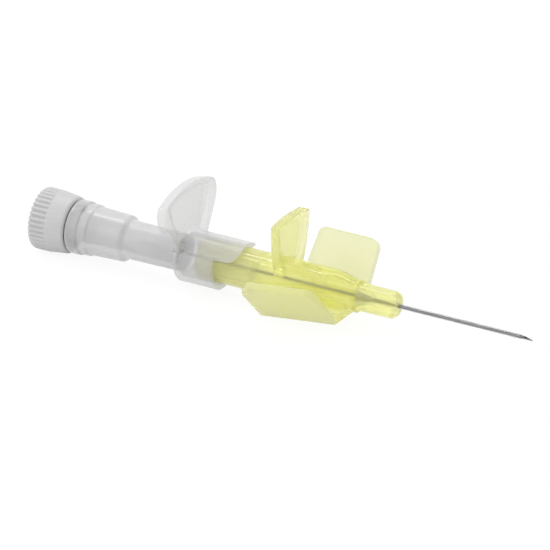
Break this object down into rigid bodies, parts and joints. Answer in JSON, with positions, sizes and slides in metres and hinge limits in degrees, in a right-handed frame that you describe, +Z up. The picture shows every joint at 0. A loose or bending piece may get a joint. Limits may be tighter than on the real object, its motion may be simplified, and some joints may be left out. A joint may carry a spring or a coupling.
{
  "type": "winged intravenous cannula",
  "caption": "Winged peripheral venous cannula: thin catheter over a bevelled steel needle, yellow hub with push tab and folding wings, clear thumb grip, flash chamber and ribbed white luer cap.",
  "frame": {"origin": "on the needle's axis, where the catheter tube leaves the front face of the hub's nose", "axes": "+X along the needle towards its tip, +Z up towards the push tab and thumb tab, +Y towards the left wing"},
  "size_m": [0.0765, 0.023, 0.0144],
  "materials": {
    "hub_yellow": "translucent moulded plastic, smooth",
    "wing_yellow": "thin translucent moulded plastic, softly matt",
    "clear_frosted": "clear moulded plastic with a light frost",
    "chamber_clear": "clear moulded plastic, slightly cloudy",
    "cap_white": "white moulded plastic, satin",
    "needle_steel": "drawn and polished stainless steel",
    "ferrule_steel": "formed stainless steel",
    "tube_clear": "thin clear fluoropolymer tube",
    "filter_white": "porous sintered plastic"
  },
  "bodies": {
    "catheter": {"catheter_hub": "hub_yellow", "catheter_tube": "tube_clear", "tube_ferrule": "ferrule_steel"},
    "left_wing": {"wing_left": "wing_yellow"},
    "right_wing": {"wing_right": "wing_yellow"},
    "needle_unit": {"needle": "needle_steel", "needle_grip": "clear_frosted", "flash_chamber": "chamber_clear"},
    "cap": {"luer_cap": "cap_white", "vent_filter": "filter_white"}
  },
  "joints": [
    {"name": "needle_withdraw", "type": "slide", "parent": "catheter", "child": "needle_unit", "axis": [-1, 0, 0], "range_m": [0, 0.056]},
    {"name": "wing_left_fold", "type": "hinge", "parent": "catheter", "child": "left_wing", "pos_m": [-0.01821, 0.0058, -0.00358], "axis": [0.9904, -0.124, 0.0606], "range_deg": [-50, 35], "stiffness_Nm_per_rad": 0.00002},
    {"name": "wing_right_fold", "type": "hinge", "parent": "catheter", "child": "right_wing", "pos_m": [-0.01821, -0.0058, -0.00358], "axis": [-0.9904, -0.124, -0.0606], "range_deg": [-47, 38], "stiffness_Nm_per_rad": 0.00002},
    {"name": "cap_pull", "type": "slide", "parent": "needle_unit", "child": "cap", "axis": [-1, 0, 0], "range_m": [0, 0.01]}
  ]
}
